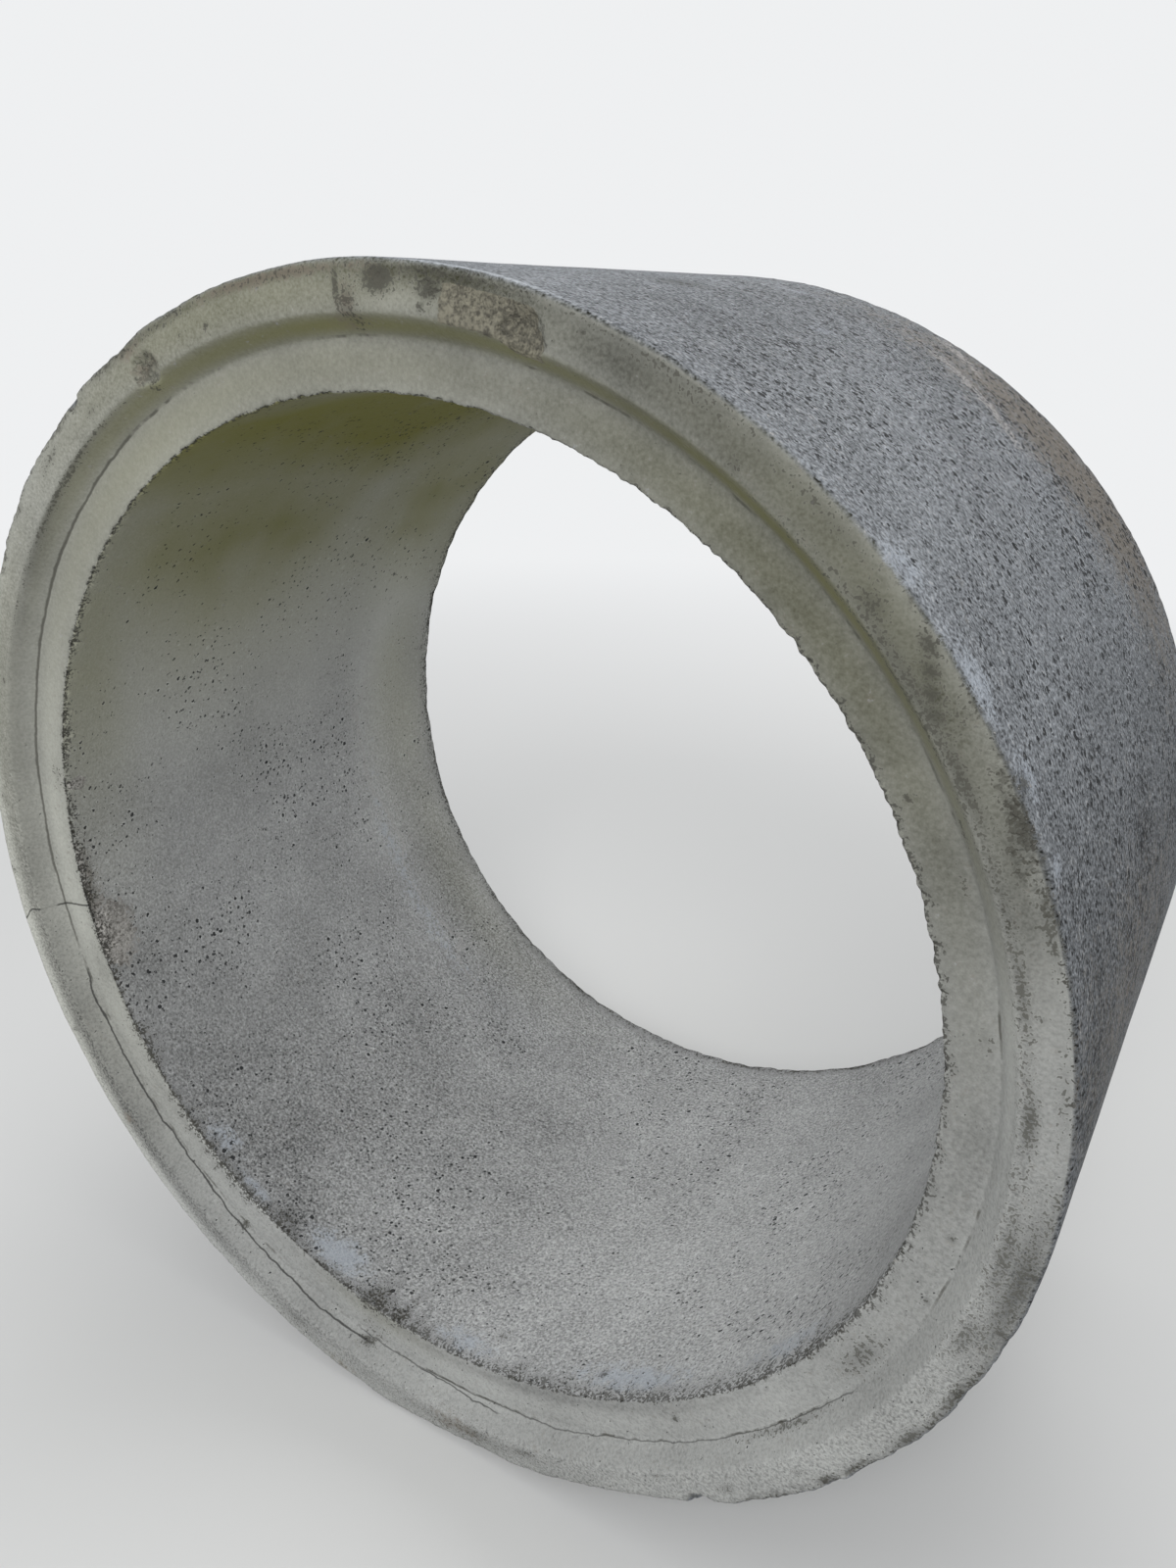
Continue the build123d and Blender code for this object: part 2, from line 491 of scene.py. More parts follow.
def inside_volume(mesh):
    """Sum of the signed tetrahedra between the origin and each triangle."""
    mesh.calc_loop_triangles()
    corner = np.empty(len(mesh.loop_triangles) * 3, np.int32)
    mesh.loop_triangles.foreach_get("vertices", corner)
    place = np.empty(len(mesh.vertices) * 3)
    mesh.vertices.foreach_get("co", place)
    a, b, c = place.reshape(-1, 3)[corner.reshape(-1, 3)].transpose(1, 0, 2)
    return np.einsum("ij,ij->", a, np.cross(b, c)) / 6


print("volume", round(inside_volume(mesh), 4), "m3, triangles", len(mesh.loop_triangles))

# %% [markdown]
# ## Stains and painted light that belong to a place
# Dirt gathers in the root of the socket and on the arrises, and pale lime runs down from the
# bore's edge. The lime's mark also paints a highlight a little before the bore's lip. Olive algae
# grow at the top, and at the top of the bore the olive is also painted shade and a painted green
# reflection. The material breaks these soft spots up with finer noise. A further list makes whole
# stretches paler or darker, and adds up. Some of its rows are painted light and shade: a
# neighbouring pipe's shadow and a sunlit highlight on the barrel, light on the right flank and the
# left shoulder, and light and shade deep in the bore.

# %% Stains and painted light
tone_and_painted_light = 1 + spots([
    (ON_FACE, 50, 0.868, 0.500, 0.036, -0.56),
    (ON_FACE, 110, 0.868, 0.330, 0.036, -0.20),
    (ON_FACE, 86.5, 0.856, 0.050, 0.012, 0.24),
    (ON_FACE, 82, 0.888, 0.150, 0.011, -0.55),
    (ON_FACE, 100, 0.890, 0.130, 0.007, -0.42),
    (ON_FACE, 114, 0.888, 0.110, 0.008, -0.25),
    (ON_FACE, 32, 0.862, 0.250, 0.022, -0.10),
    (ON_FACE, 45, 0.785, 0.450, 0.045, -0.60),
    (ON_FACE, 88, 0.785, 0.220, 0.045, -0.14),
    (ON_FACE, 50, 0.830, 0.500, 0.009, -0.10),
    # Painted light: lifts the shade on the socket's flank at the right.
    (ON_FACE, 8, 0.828, 0.230, 0.011, 0.36),
    (ON_FACE, 358, 0.785, 0.250, 0.045, -0.14),
    (ON_FACE, 205, 0.884, 0.700, 0.014, 0.66),
    (ON_FACE, 210, 0.848, 0.500, 0.012, -0.26),
    # Painted light: paler shoulder on the left, as if lit from the left.
    (ON_FACE, 180, 0.785, 0.380, 0.030, 0.34),
    (ON_FACE, 164, 0.866, 0.260, 0.020, -0.12),
    (ON_FACE, 182, 0.828, 0.450, 0.012, -0.12),
    (ON_FACE, 232, 0.757, 0.300, 0.008, 0.16),
    (ON_FACE, 225, 0.800, 0.300, 0.012, 0.10),
    (ON_FACE, 232, 0.860, 0.300, 0.018, -0.14),
    (ON_FACE, 200.5, 0.776, 0.044, 0.018, -0.20),
    (ON_FACE, 205, 0.790, 0.500, 0.030, 0.12),
    (ON_FACE, 280, 0.790, 0.450, 0.026, 0.14),
    (ON_FACE, 325, 0.866, 0.300, 0.040, 0.10),
    (ON_FACE, 285, 0.762, 0.450, 0.012, -0.26),
    (ON_FACE, 140, 0.834, 0.250, 0.008, -0.30),
    (ON_FACE, 349, 0.882, 0.120, 0.020, -0.34),
    (ON_FACE, 228, 0.860, 0.300, 0.050, -0.14),
    (ON_FACE, 68, 0.870, 0.070, 0.020, -0.16),
    (ON_FACE, 22, 0.868, 0.090, 0.014, -0.18),
    # Partly painted shadow: these two rows darken the barrel at clock 8, where a neighbouring pipe throws
    # its shadow.
    (ON_BARREL, 8, 0.300, 0.300, 0.700, -0.44),
    (ON_BARREL, 8, 0.100, 0.100, 0.120, -0.16),
    (ON_BARREL, 70, 0.350, 0.160, 0.600, -0.26),
    # Painted shade: the far band of the barrel is darker, as if turned away from the sky.
    (ON_BARREL, 46, 0.900, 0.350, 0.180, -0.20),
    # Painted highlight: a bright sunlit line along the top arris.
    (ON_BARREL, 80, 0.012, 0.120, 0.006, 1.10),
    # Painted light: paler deep in the upper left of the bore, where daylight falls in.
    (IN_BORE, 145, 0.400, 0.330, 0.700, 0.52),
    (IN_BORE, 244, 0.085, 0.045, 0.035, -0.16),
    (IN_BORE, 232, 0.400, 0.450, 0.500, -0.12),
    (IN_BORE, 235, 0.120, 0.180, 0.100, -0.20),
    (IN_BORE, 212, 0.120, 0.200, 0.100, -0.12),
    (IN_BORE, 103, 0.100, 0.200, 0.120, -0.22),
    # Painted light: the next four rows make the bore paler deep inside and a little before its lip.
    (IN_BORE, 150, 0.500, 0.230, 0.380, 0.28),
    (IN_BORE, 146, 0.860, 0.250, 0.110, 0.72),
    (IN_BORE, 176, 0.880, 0.250, 0.110, 0.42),
    (IN_BORE, 190, 0.800, 0.200, 0.040, 0.20),
    # Painted light: paler low on the right of the bore, where sunlight falls in.
    (IN_BORE, 300, 0.450, 0.400, 0.500, 0.34),
    # Painted shade: darker along the far lip on the lower left.
    (IN_BORE, 222, 0.900, 0.220, 0.060, -0.16),
], np.add)
grime = spots([
    (ON_FACE, 82.5, 0.889, 0.140, 0.009, 0.9),
    (ON_FACE, 83.5, 0.8715, 0.016, 0.011, 2.2),
    (ON_FACE, 88.2, 0.877, 0.022, 0.017, 2.4),
    (ON_FACE, 84.1, 0.853, 0.005, 0.006, 2.0),
    (ON_FACE, 91.2, 0.850, 0.016, 0.026, 1.3),
    (ON_FACE, 92.2, 0.868, 0.005, 0.026, 1.8),
    (ON_FACE, 99, 0.889, 0.130, 0.008, 0.9),
    (ON_FACE, 113, 0.889, 0.100, 0.008, 0.8),
    (ON_FACE, 64, 0.889, 0.125, 0.004, 1.1),
    (ON_FACE, 62, 0.882, 0.090, 0.008, 0.6),
    (ON_FACE, 50, 0.882, 0.100, 0.010, 0.6),
    (ON_FACE, 70.3, 0.879, 0.004, 0.004, 1.6),
    (ON_FACE, 56.3, 0.852, 0.008, 0.010, 0.9),
    (ON_FACE, 107, 0.859, 0.005, 0.005, 1.6),
    (ON_FACE, 110.2, 0.863, 0.008, 0.006, 0.8),
    (ON_FACE, 116.6, 0.832, 0.009, 0.006, 1.1),
    (ON_FACE, 119, 0.890, 0.006, 0.005, 1.1),
    (ON_FACE, 127, 0.888, 0.009, 0.005, 1.3),
    (ON_FACE, 125, 0.861, 0.018, 0.008, 0.9),
    (ON_FACE, 133.5, 0.873, 0.038, 0.007, 1.0),
    (ON_FACE, 141.5, 0.888, 0.012, 0.007, 1.3),
    (ON_FACE, 134, 0.8375, 0.170, 0.004, 1.3),
    (ON_FACE, 150, 0.8420, 0.160, 0.004, 0.7),
    (ON_FACE, 161.8, 0.851, 0.012, 0.006, 1.0),
    (ON_FACE, 177, 0.872, 0.012, 0.010, 0.8),
    (ON_FACE, 26.5, 0.888, 0.035, 0.012, 2.2),
    (ON_FACE, 20, 0.889, 0.060, 0.010, 1.3),
    (ON_FACE, 25, 0.876, 0.035, 0.012, 1.1),
    (ON_FACE, 8, 0.886, 0.070, 0.008, 0.7),
    (ON_FACE, 19.8, 0.876, 0.005, 0.004, 1.6),
    (ON_FACE, 16.7, 0.888, 0.005, 0.004, 1.4),
    (ON_FACE, 13.2, 0.868, 0.004, 0.004, 1.5),
    (ON_FACE, 5, 0.853, 0.045, 0.011, 1.4),
    (ON_FACE, 15, 0.849, 0.070, 0.009, 1.2),
    (ON_FACE, 21, 0.846, 0.150, 0.005, 0.9),
    (ON_FACE, 23, 0.848, 0.060, 0.008, 1.0),
    (ON_FACE, 30.5, 0.850, 0.065, 0.011, 1.3),
    (ON_FACE, 36, 0.848, 0.200, 0.012, 1.0),
    (ON_FACE, 35, 0.853, 0.016, 0.012, 1.5),
    (ON_FACE, 36.4, 0.862, 0.015, 0.010, 1.5),
    (ON_FACE, 37.8, 0.873, 0.014, 0.010, 1.5),
    (ON_FACE, 39.2, 0.885, 0.016, 0.009, 1.7),
    (ON_FACE, 43.3, 0.858, 0.022, 0.017, 1.2),
    (ON_FACE, 38, 0.8365, 0.210, 0.004, 0.9),
    (ON_FACE, 26.5, 0.822, 0.022, 0.004, 0.9),
    (ON_FACE, 23, 0.803, 0.030, 0.003, 0.8),
    (ON_FACE, 29.8, 0.777, 0.005, 0.005, 1.5),
    (ON_FACE, 9.5, 0.800, 0.014, 0.010, 0.6),
    (ON_FACE, 320.6, 0.889, 0.018, 0.008, 1.5),
    (ON_FACE, 324, 0.889, 0.018, 0.007, 1.2),
    (ON_FACE, 331.5, 0.890, 0.032, 0.009, 1.5),
    (ON_FACE, 337.8, 0.890, 0.026, 0.009, 1.5),
    (ON_FACE, 346.3, 0.887, 0.007, 0.012, 1.3),
    (ON_FACE, 352.4, 0.891, 0.005, 0.007, 1.8),
    (ON_FACE, 358, 0.891, 0.050, 0.005, 0.9),
    (ON_FACE, 344, 0.857, 0.045, 0.014, 1.0),
    (ON_FACE, 353, 0.856, 0.080, 0.014, 1.0),
    (ON_FACE, 351, 0.880, 0.120, 0.018, 1.0),
    (ON_FACE, 337, 0.892, 0.130, 0.008, 1.1),
    (ON_FACE, 337, 0.864, 0.012, 0.004, 0.9),
    (ON_FACE, 318.5, 0.866, 0.009, 0.005, 0.9),
    (ON_FACE, 332.5, 0.794, 0.038, 0.018, 1.0),
    (ON_FACE, 342.6, 0.807, 0.005, 0.004, 1.5),
    (ON_FACE, 350, 0.799, 0.005, 0.005, 1.5),
    (ON_FACE, 319, 0.819, 0.080, 0.003, 1.1),
    (ON_FACE, 277.5, 0.857, 0.045, 0.012, 0.9),
    (ON_FACE, 284, 0.855, 0.030, 0.006, 1.1),
    (ON_FACE, 276, 0.862, 0.160, 0.018, 0.6),
    (ON_FACE, 309.5, 0.868, 0.016, 0.008, 0.8),
    (ON_FACE, 301.5, 0.846, 0.020, 0.004, 0.8),
    (ON_FACE, 305.3, 0.781, 0.006, 0.006, 2.0),
    (ON_FACE, 239.2, 0.817, 0.007, 0.005, 1.6),
    (ON_FACE, 260.8, 0.8215, 0.014, 0.006, 1.6),
    (ON_FACE, 251.5, 0.862, 0.030, 0.007, 0.8),
    (ON_FACE, 253, 0.878, 0.130, 0.008, 0.6),
    (ON_FACE, 261, 0.790, 0.030, 0.024, 0.5),
    (ON_FACE, 186.3, 0.886, 0.007, 0.008, 1.1),
    (ON_FACE, 206.9, 0.877, 0.005, 0.016, 1.1),
    (ON_FACE, 172.5, 0.770, 0.028, 0.010, 0.8),
    (ON_BARREL, 28.8, 0.022, 0.012, 0.012, 1.4),
    (ON_BARREL, 78, 0.420, 0.030, 0.034, 1.1),
    (IN_BORE, 243, 0.062, 0.022, 0.007, 1.4),
    (IN_BORE, 293.7, 0.085, 0.010, 0.009, 1.4),
    (IN_BORE, 277.5, 0.102, 0.014, 0.010, 1.0),
])
lime_and_highlight = spots([
    (IN_BORE, 252, 0.080, 0.070, 0.036, 1.2),
    (IN_BORE, 229, 0.070, 0.045, 0.030, 0.9),
    (IN_BORE, 237, 0.056, 0.050, 0.012, 0.8),
    (IN_BORE, 274, 0.068, 0.060, 0.026, 1.0),
    (IN_BORE, 298, 0.085, 0.120, 0.030, 1.1),
    (IN_BORE, 322, 0.090, 0.100, 0.030, 0.9),
    # Painted highlight: a pale band a little before the bore's lip.
    (IN_BORE, 212, 0.790, 0.420, 0.020, 0.7),
    (ON_BARREL, 44, 0.030, 0.040, 0.036, 0.9),
    (ON_BARREL, 36, 0.026, 0.060, 0.036, 0.9),
    (ON_BARREL, 29, 0.040, 0.040, 0.034, 0.8),
    (ON_BARREL, 23, 0.034, 0.024, 0.024, 0.7),
    (ON_BARREL, 75.5, 0.765, 0.050, 0.040, 0.9),
    (ON_BARREL, 66.5, 0.530, 0.040, 0.045, 0.8),
])
# Olive: algae on the face and flank, and at the top of the bore algae with painted shade and a painted
# green reflection.
algae_and_green_reflection = spots([
    (IN_BORE, 112, 0.450, 0.400, 0.900, 1.15),
    (IN_BORE, 138, 0.850, 0.320, 0.300, 0.90),
    (IN_BORE, 138, 0.350, 0.340, 0.500, 0.90),
    (IN_BORE, 150, 0.080, 0.380, 0.140, 0.65),
    (IN_BORE, 172, 0.900, 0.350, 0.110, 0.42),
    (IN_BORE, 205, 0.930, 0.500, 0.080, 0.20),
    (ON_FACE, 95, 0.828, 0.600, 0.012, 0.80),
    (ON_FACE, 52, 0.828, 0.380, 0.012, 0.65),
    (ON_FACE, 105, 0.870, 0.450, 0.040, 0.34),
    (ON_FACE, 45, 0.868, 0.350, 0.040, 0.18),
    (ON_FACE, 120, 0.785, 0.650, 0.040, 0.30),
    (ON_FACE, 50, 0.785, 0.500, 0.040, 0.22),
    (ON_FACE, 160, 0.868, 0.400, 0.040, 0.18),
    (ON_FACE, 261, 0.765, 0.120, 0.020, 0.15),
])
brown = spots([
    (ON_FACE, 88.2, 0.876, 0.020, 0.014, 0.4),
    (ON_FACE, 91.2, 0.850, 0.016, 0.026, 0.6),
    (ON_FACE, 116, 0.855, 0.030, 0.016, 0.5),
    (ON_FACE, 92, 0.832, 0.030, 0.010, 0.5),
    (ON_FACE, 99, 0.889, 0.130, 0.007, 0.9),
    (ON_FACE, 117, 0.882, 0.030, 0.012, 0.6),
    (ON_FACE, 219.5, 0.862, 0.020, 0.014, 0.5),
    (ON_FACE, 275, 0.859, 0.060, 0.016, 0.55),
    (ON_FACE, 258.5, 0.886, 0.040, 0.012, 0.5),
    (IN_BORE, 190, 0.052, 0.120, 0.020, 0.5),
    (ON_BARREL, 45, 0.860, 0.400, 0.140, 0.80),
    (ON_BARREL, 5, 0.400, 0.180, 0.500, 0.40),
])
rubble = spots([
    (IN_BORE, 196, 0.070, 0.070, 0.042, 1.1),
    (IN_BORE, 186, 0.046, 0.080, 0.012, 0.6),
    (IN_BORE, 174, 0.062, 0.014, 0.020, 1.0),
    (IN_BORE, 261, 0.056, 0.040, 0.016, 0.5),
])
print("spots", [round(float(spot.max()), 2) for spot in (tone_and_painted_light, grime, lime_and_highlight, algae_and_green_reflection, brown, rubble)])

# %% The floor of the top break
# It narrows to a tip across the mouth's edge, and its own edges are straight
BREAK_LOW_ANGLE = 74.1
BREAK_HIGH_ANGLE = 83.0
BREAK_INNER_RADIUS = 0.838
BREAK_OUTER_RADIUS = 0.886
low_end = BREAK_LOW_ANGLE - 1.1 * smooth_step(0.862, BREAK_INNER_RADIUS, section_radius)
inner_end = BREAK_INNER_RADIUS - 0.010 * smooth_step(77.5, 75.5, clock_degrees)
break_floor = smooth_step(-0.3, 0.5, clock_degrees - low_end)
break_floor = break_floor * smooth_step(BREAK_HIGH_ANGLE, BREAK_HIGH_ANGLE - 1, clock_degrees)
break_floor = break_floor * smooth_step(BREAK_OUTER_RADIUS, BREAK_OUTER_RADIUS - 0.008, section_radius)
break_floor = break_floor * smooth_step(-0.003, 0.002, section_radius - inner_end) * ON_FACE
print("floor vertices", int((break_floor > 0.5).sum()))

# %% [markdown]
# ## Three skins and how rough they are
# The barrel, the bore and the flat end came out of the mould differently, so each needs its
# own share of pits, of mottling and of sandy grit. The shares follow from the facing and the
# place of a vertex. They are stored on the mesh, since a material can read a value from a
# vertex but can't measure where an edge is.

# %% Which skin is where
barrel_side = smooth_step(0.35, 0.9, normal_radial) * (section_radius > 0.87)
bore_side = smooth_step(0.35, 0.9, -normal_radial) * (section_radius < 0.76)
lower = smooth_step(-0.35, 0.45, -np.sin(clock))
lowest = smooth_step(0.4, 0.95, -np.sin(clock))
upper_left = arc_window(150, 90)
flat_side = 1 - barrel_side - bore_side
on_rim = flat_side * smooth_step(0.835, 0.845, section_radius)
print("vertices on barrel, bore", int((barrel_side > 0.5).sum()), int((bore_side > 0.5).sum()))

# %% Pits, mottling and grit
MOST_PITTED = 1.15
barrel_pits = barrel_side * smooth_step(0.020, 0.045, BEHIND + 0.012 * lumps(points, 0.05, 31))
barrel_pits = barrel_pits * (1 - 0.15 * smooth_step(58, 74, np.abs(clock_gap(0))))
barrel_pits = barrel_pits * (0.78 + 0.22 * smooth_step(0.10, 0.35, BEHIND))
barrel_pits = barrel_pits * (1 + 0.40 * lumps(points, 0.13, 32))
barrel_pits = np.minimum(barrel_pits * (1 + 0.25 * smooth_step(0.35, 0.70, BEHIND)), MOST_PITTED)
bore_pits = bore_side * (0.52 + 0.08 * lower) * (1 + 0.6 * lumps(points, 0.11, 33))
face_pits = flat_side * (0.22 + 0.14 * lower)
pitted = barrel_pits + bore_pits + face_pits
mottle = 0.20 + 0.50 * barrel_side - 0.08 * flat_side + on_rim * (0.26 * lower + 0.34 * upper_left)
grit = 0.5 + 2.5 * barrel_side + bore_side * (0.1 + 0.9 * lower + 0.8 * lowest)
grit = grit + 0.35 * flat_side * lower + on_rim * (0.9 * lower + 0.5 * upper_left) + 0.6 * torn_skin
print("grit up to", grit.max().round(2))

# %% Store the marks on the mesh
fringe = torn_fringe + 0.8 * near_edge(far_bore_edge, 0.022) + 0.5 * near_edge(far_arris, 0.020)
fringe = fringe + 0.3 * near_edge(near_arris, 0.012) * arris_wear
MARKS = {
    "tone_and_painted_light": tone_and_painted_light,
    "grime": np.maximum(grime, 0.7 * torn_skin) + 0.14 * flat_side * lower,
    "lime_and_highlight": lime_and_highlight,
    "algae_and_green_reflection": algae_and_green_reflection,
    "brown": brown,
    "rubble": np.maximum(np.maximum(rubble, brown_floor * broken), break_floor),
    "broken": np.maximum(broken, 0.35 * worn),
    "hollow": hollow,
    "fringe": fringe,
    "barrel_side": barrel_side,
    "bore_side": bore_side,
    "pitted": pitted,
    "mottle": mottle,
    "grit": grit,
}
for name, values in MARKS.items():
    mark = mesh.attributes.new(name, "FLOAT", "POINT")
    mark.data.foreach_set("value", values.astype(np.float32))
print("marks", list(MARKS))

# %% [markdown]
# ## Shader maths as Python
# A material is a chain of nodes. One small class wraps a node's output, so that an ordinary
# expression such as 1 - mask adds the Math nodes. A second class adds any other node: its
# settings go in first, then the numbers or links of its sockets.

# %% Signals and finishes
class Signal:
    """A node's output that works in Python arithmetic."""

    def __init__(self, finish, socket):
        self.finish = finish
        self.socket = socket

    def maths(self, operation, *terms):
        return self.finish.node("ShaderNodeMath", {"operation": operation}, dict(enumerate(terms)))

    def __add__(self, other):
        return self.maths("ADD", self, other)

    def __sub__(self, other):
        return self.maths("SUBTRACT", self, other)

    def __rsub__(self, other):
        return self.maths("SUBTRACT", other, self)

    def __mul__(self, other):
        return self.maths("MULTIPLY", self, other)

    def __pow__(self, other):
        return self.maths("POWER", self, other)

    __radd__ = __add__
    __rmul__ = __mul__

    def size(self):
        return self.maths("ABSOLUTE", self)

    def most(self, other):
        return self.maths("MAXIMUM", self, other)

    def least(self, other):
        return self.maths("MINIMUM", self, other)

    def step(self, low, high):
        """0 at low and 1 at high, with soft ends."""
        return self.finish.node(
            "ShaderNodeMapRange",
            {"interpolation_type": "SMOOTHSTEP"},
            {"Value": self, "From Min": low, "From Max": high},
        )

    def other(self, name):
        """Another output of the same node."""
        return Signal(self.finish, self.socket.node.outputs[name])


class Finish:
    """The nodes of a material or of the world, in the making."""

    def __init__(self, owner):
        owner.use_nodes = True
        self.tree = owner.node_tree
        self.tree.nodes.clear()

    def node(self, kind, settings=None, inputs=None, output=0):
        """Adds a node, sets it up, fills or links its inputs and returns one output."""
        made = self.tree.nodes.new(kind)
        for name, value in (settings or {}).items():
            setattr(made, name, value)
        for key, value in (inputs or {}).items():
            if isinstance(value, Signal):
                self.tree.links.new(value.socket, made.inputs[key])
            else:
                made.inputs[key].default_value = value
        return Signal(self, made.outputs[output]) if len(made.outputs) else None

    def mark(self, name):
        """A value that was stored on the vertices."""
        return self.node("ShaderNodeAttribute", {"attribute_name": name}, output="Fac")

    def noise(self, place, size, detail=2.0, roughness=0.5):
        """Cloudy noise whose lumps are about one size across."""
        inputs = {"Vector": place, "Scale": 1 / size, "Detail": detail, "Roughness": roughness}
        return self.node("ShaderNodeTexNoise", {}, inputs)

    def cells(self, place, size):
        """Distance in metres to the nearest of many scattered points, and that point's lot."""
        nearest = self.node("ShaderNodeTexVoronoi", {}, {"Vector": place, "Scale": 1 / size})
        lot = self.node("ShaderNodeSeparateColor", {}, {0: nearest.other("Color")})
        return nearest * size, lot

    def blend(self, share, first, second):
        """From the first colour to the second."""
        return self.node("ShaderNodeMix", {"data_type": "RGBA"}, {0: share, 6: first, 7: second}, 2)

    def times(self, colour, factor):
        """A colour made lighter or darker by a number."""
        return self.node("ShaderNodeVectorMath", {"operation": "SCALE"}, {0: colour, "Scale": factor})


print("operators ready")

# %% [markdown]
# ## Weathered concrete
# The barrel came out of a steel mould against trapped air, so it is grey and full of pits, and
# its blue tint is a painted reflection of the sky. The end face and the socket were cast
# against a smooth ring and are paler. The bore is sandy, with small pits. One material holds
# all three, because they are one casting, and the stored marks say which skin is where. Towards
# its lower right the face is a little paler and cooler. Noise of four sizes, from clouds to
# sand, varies all of it. The patterns read Object coordinates, so they stay on the pipe.

# %% Skins of the concrete
concrete_material = bpy.data.materials.new("weathered_concrete")
concrete = Finish(concrete_material)
place = concrete.node("ShaderNodeTexCoord", output="Object")
on_barrel = concrete.mark("barrel_side")
in_bore = concrete.mark("bore_side")

FACE_GREY = (0.272, 0.274, 0.250, 1)
LOW_FACE_GREY = (0.284, 0.288, 0.277, 1)
# The barrel's blue tint is a painted reflection of the sky.
BARREL_GREY_AND_SKY_BLUE = (0.190, 0.201, 0.213, 1)
BORE_GREY = (0.296, 0.300, 0.298, 1)
apart = concrete.node("ShaderNodeSeparateXYZ", {}, {0: place})
low_right = (0.80 - apart.other("Z") + apart.other("X") * 0.6).step(-0.20, 0.40)
face_grey = concrete.blend(low_right, FACE_GREY, LOW_FACE_GREY)
skin = concrete.blend(on_barrel, face_grey, BARREL_GREY_AND_SKY_BLUE)
skin = concrete.blend(in_bore, skin, BORE_GREY)

# %% Noise from clouds to sand
CLOUD_SIZE = 160 * MM
BLOTCH_SIZE = 24 * MM
GRAIN_SIZE = 9.5 * MM
SAND_SIZE = 4.8 * MM
clouds = concrete.noise(place, CLOUD_SIZE) - 0.5
blotches = concrete.noise(place, BLOTCH_SIZE, roughness=0.6) - 0.5
grain = concrete.noise(place, GRAIN_SIZE, roughness=0.75) - 0.5
sand = concrete.noise(place, SAND_SIZE, detail=1, roughness=0.7) - 0.5
# The stored tone carries painted shadow, painted highlight and painted light as well as paler and darker
# stretches of concrete.
tone = concrete.mark("tone_and_painted_light") + clouds * 0.55 + (blotches + grain * 0.8) * concrete.mark("mottle")
tone = tone + sand * concrete.mark("grit")
skin = concrete.times(skin, tone)
print("skin nodes", len(concrete.tree.nodes))

# %% [markdown]
# ## Pits
# Air bubbles against the mould leave round holes from 2 to 15 millimetres across. A pit is
# the part of space near a scattered point: where the surface passes close to the point the
# hole is wide, and where it passes at a distance there is none. Each point draws a lot for
# its size, and the sand noise makes the outline uneven. The same mask darkens the colour and
# sinks the surface.

# %% Pit masks
LARGE_PIT_SPACING = 15 * MM
SMALL_PIT_SPACING = 7.2 * MM
LARGEST_RADIUS = 7.2 * MM
SMALL_PIT_RADIUS = 4.7 * MM
raggedness = sand * (8 * MM)
ragged_place = concrete.node("ShaderNodeVectorMath", {"operation": "ADD"}, {0: place, 1: raggedness})
large_cells, large_lot = concrete.cells(ragged_place, LARGE_PIT_SPACING)
small_cells, small_lot = concrete.cells(ragged_place, SMALL_PIT_SPACING)
pitted = concrete.mark("pitted")
large_radius = large_lot**2.6 * pitted * LARGEST_RADIUS - 0.8 * MM
small_radius = small_lot**2.3 * pitted * SMALL_PIT_RADIUS - 0.3 * MM
large_pits = (large_radius - large_cells).step(-0.4 * MM, 0.6 * MM)
small_pits = (small_radius - small_cells).step(-0.3 * MM, 0.5 * MM)
pale_rims = (large_radius - large_cells).step(-3.4 * MM, -0.8 * MM) - large_pits
print("pit nodes", len(concrete.tree.nodes))

# %% [markdown]
# ## What has settled on it, and some painted light
# Lime, algae, soil and soot each have their own colour. The olive also paints shade and a green
# reflection at the top of the bore, and the pale lime colour also paints a highlight a little
# before the bore's lip. A stored mark says where one of them belongs, and a threshold on the mark
# plus noise gives it a broken outline with grains of clean concrete inside, as real dirt has.
# Each colour is blended over the ones before it.

# %% Dirt, lime, algae, stains and painted light
PIT_DARK = (0.014, 0.015, 0.016, 1)
GRIME_DARK = (0.050, 0.048, 0.038, 1)
LIME_AND_HIGHLIGHT_PALE = (0.350, 0.380, 0.420, 1)
ALGAE_AND_REFLECTION_OLIVE = (0.158, 0.153, 0.036, 1)
STAIN_BROWN = (0.165, 0.142, 0.112, 1)

skin = concrete.times(skin, 1 + pale_rims * pitted * 0.35)
# The olive is algae, and at the top of the bore it also paints shade and a green reflection.
skin = concrete.blend(concrete.mark("algae_and_green_reflection") * (0.90 + clouds * 0.6), skin, ALGAE_AND_REFLECTION_OLIVE)
brown = concrete.mark("brown")
skin = concrete.blend((brown + blotches + grain * 1.2).step(0.10, 0.85) * 0.8, skin, STAIN_BROWN)
# The pale share is lime, and a little before the bore's lip it is also a painted highlight.
lime_and_highlight_share = concrete.mark("lime_and_highlight") + blotches * 1.2 + grain * 1.4 + sand
skin = concrete.blend(lime_and_highlight_share.step(0.35, 1.05) * 0.7, skin, LIME_AND_HIGHLIGHT_PALE)
skin = concrete.blend(large_pits * 0.92, skin, PIT_DARK)
skin = concrete.blend(small_pits * 0.88, skin, PIT_DARK)
grime = concrete.mark("grime")
speckle = grain + sand * 2.9
dirty = (grime * 0.70 + speckle * 1.3).step(0.56, 0.96) * grime.step(0.05, 0.30)
skin = concrete.times(skin, 1 - (grime + blotches).step(0.2, 1.8) * 0.35)
skin = concrete.blend(dirty * 0.70, skin, GRIME_DARK)
print("dirt nodes", len(concrete.tree.nodes))

